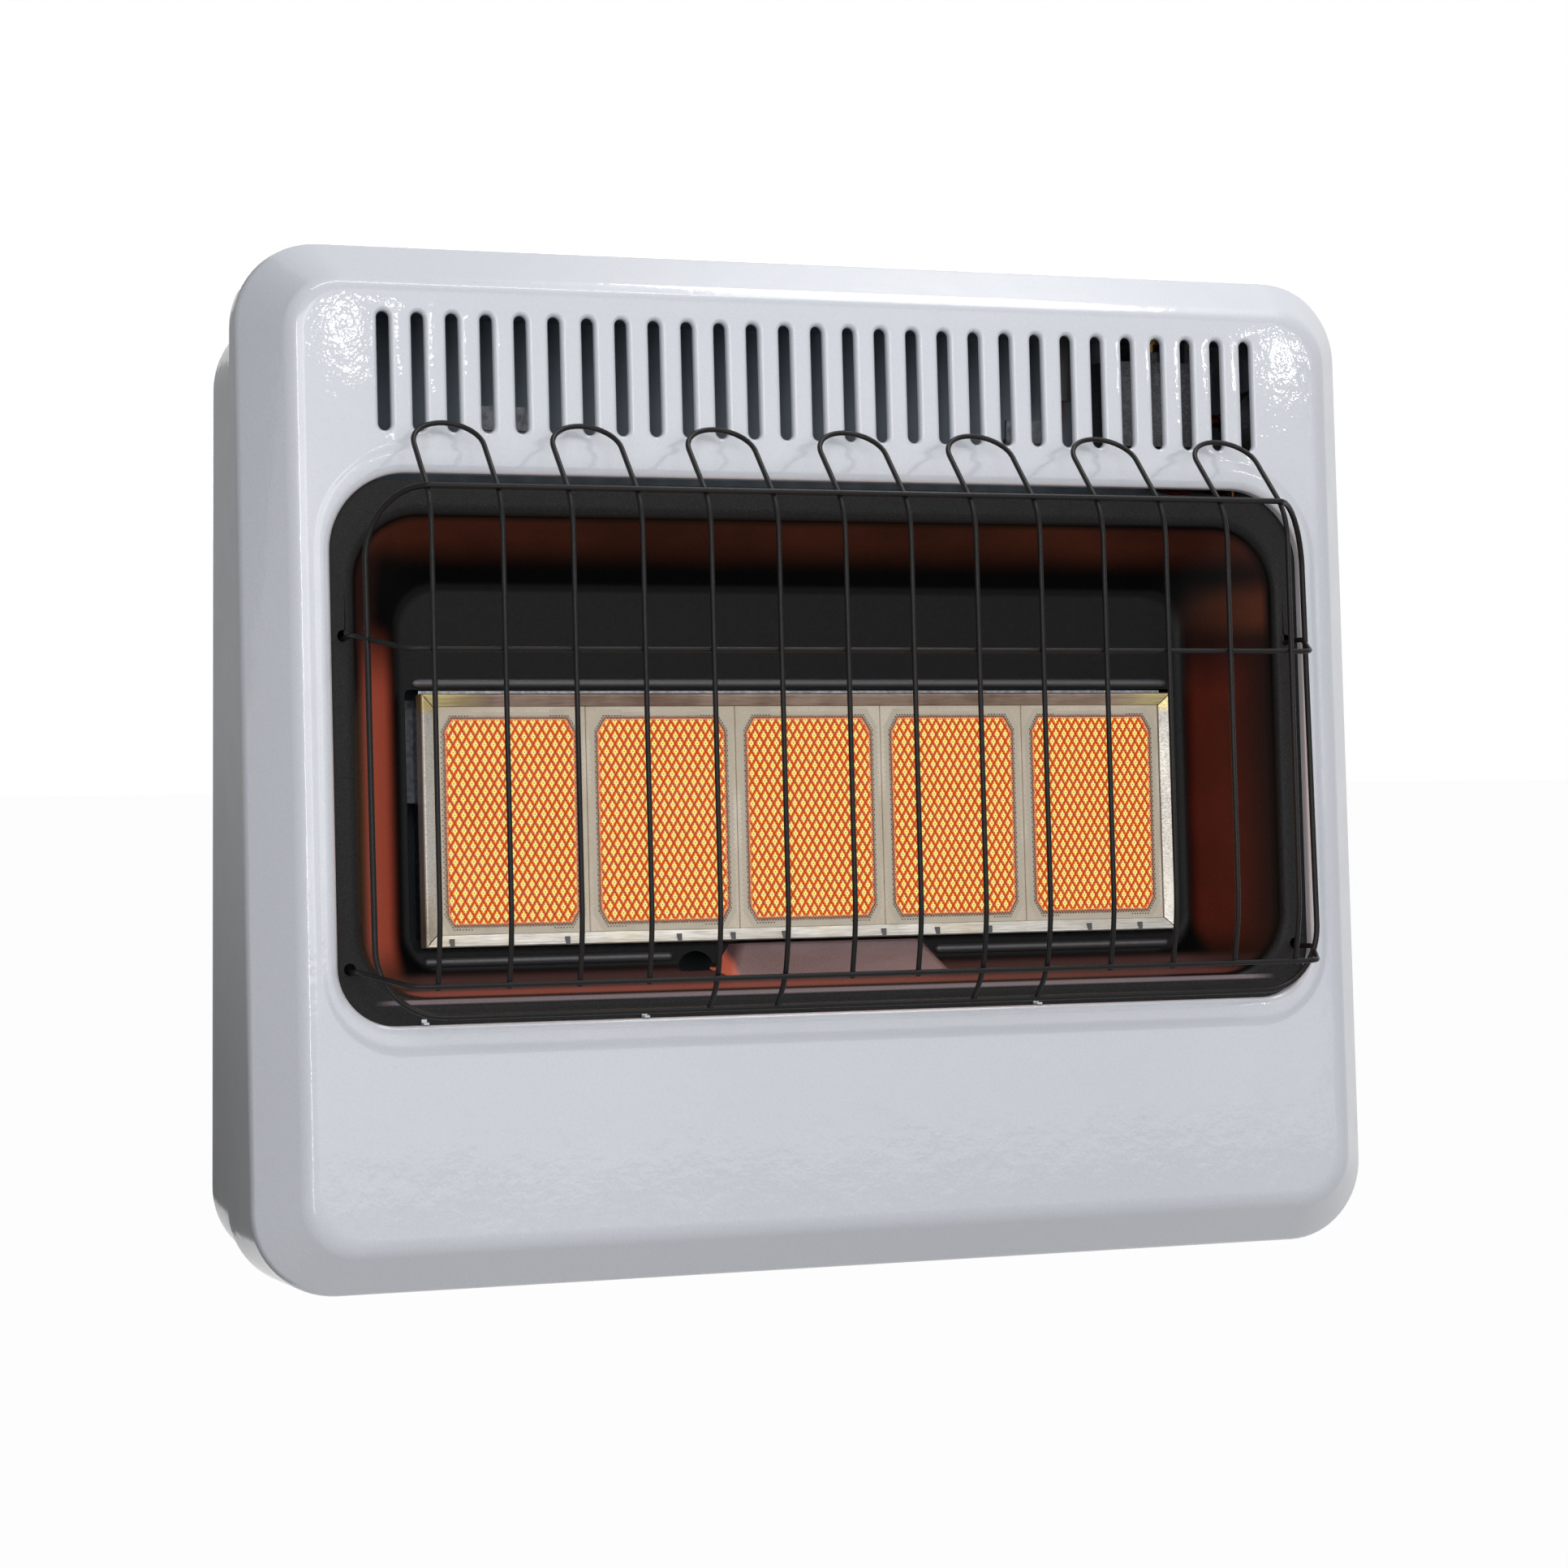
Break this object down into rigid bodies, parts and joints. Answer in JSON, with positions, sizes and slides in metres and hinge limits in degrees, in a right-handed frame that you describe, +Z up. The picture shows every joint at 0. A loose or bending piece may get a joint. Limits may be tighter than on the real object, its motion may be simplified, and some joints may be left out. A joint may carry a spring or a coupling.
{
  "type": "wall mounted gas heater",
  "caption": "Wall mounted infrared gas heater: white steel casing leaning back, black reflector with glowing ceramic plaques, bowed wire guard, gas control on top.",
  "frame": {"origin": "middle of the wall bracket's back face, on the wall plane", "axes": "+X to the right as seen from the room, +Y into the wall, +Z up"},
  "size_m": [0.69, 0.2132, 0.5989],
  "materials": {
    "white_enamel": "gloss",
    "black_enamel": "satin, speckled",
    "bright_steel": "satin",
    "zinc_steel": "satin",
    "ceramic": "matte",
    "plaque_glow": "matte, glowing when lit",
    "gasket_fibre": "matte",
    "brass": "satin",
    "die_cast": "matte",
    "black_plastic": "matte",
    "red_plastic": "gloss",
    "copper_tube": "satin",
    "lead_sleeve": "satin"
  },
  "bodies": {
    "heater": {"front_cover": "white_enamel", "rear_housing": "white_enamel", "wall_bracket": "zinc_steel", "left_support": "zinc_steel", "right_support": "zinc_steel", "reflector": "black_enamel", "burner_frame": "bright_steel", "plaque_gasket": "gasket_fibre", "burner_box": "zinc_steel", "mixing_tube": "die_cast", "gas_injector": "brass", "injector_holder": "zinc_steel", "pilot_hood": "black_enamel", "pilot_bracket": "zinc_steel", "pilot_burner": "brass", "spark_electrode": "ceramic", "thermocouple_tip": "copper_tube", "gas_valve": "die_cast", "igniter_body": "black_plastic", "gas_regulator": "die_cast", "valve_feed_tube": "copper_tube", "gas_inlet": "brass", "inlet_tube": "copper_tube", "main_gas_tube": "copper_tube", "pilot_gas_tube": "copper_tube", "thermocouple_lead": "copper_tube", "ignition_lead": "lead_sleeve", "wire_guard": "black_enamel", "heat_deflector": "zinc_steel", "rear_heat_shield": "bright_steel", "ceramic_plaque_1": "plaque_glow", "ceramic_plaque_2": "plaque_glow", "ceramic_plaque_3": "plaque_glow", "ceramic_plaque_4": "plaque_glow", "ceramic_plaque_5": "plaque_glow", "window_clip_1": "white_enamel", "window_clip_2": "white_enamel", "window_clip_3": "white_enamel", "reflector_screw_1": "zinc_steel", "reflector_screw_2": "zinc_steel", "reflector_screw_3": "zinc_steel", "reflector_screw_4": "zinc_steel", "cover_screw_1": "zinc_steel", "cover_screw_2": "zinc_steel", "burner_screw_1": "zinc_steel", "valve_screw_1": "zinc_steel", "burner_screw_2": "zinc_steel", "valve_screw_2": "zinc_steel"},
    "knob_slide": {"thrust_collar": "brass"},
    "knob": {"control_knob": "black_plastic", "valve_stem": "brass"},
    "igniter": {"igniter_button": "red_plastic"}
  },
  "joints": [
    {"name": "knob_push", "type": "slide", "parent": "heater", "child": "knob_slide", "axis": [0, 0, -1], "range_m": [0, 0.004], "stiffness_N_per_m": 700, "springref_m": -0.002},
    {"name": "knob_turn", "type": "hinge", "parent": "knob_slide", "child": "knob", "pos_m": [0.24, -0.033, 0.072], "axis": [0, 0, 1], "range_deg": [0, 170]},
    {"name": "igniter_press", "type": "slide", "parent": "heater", "child": "igniter", "axis": [0, 0, -1], "range_m": [0, 0.007], "stiffness_N_per_m": 900, "springref_m": -0.003}
  ]
}
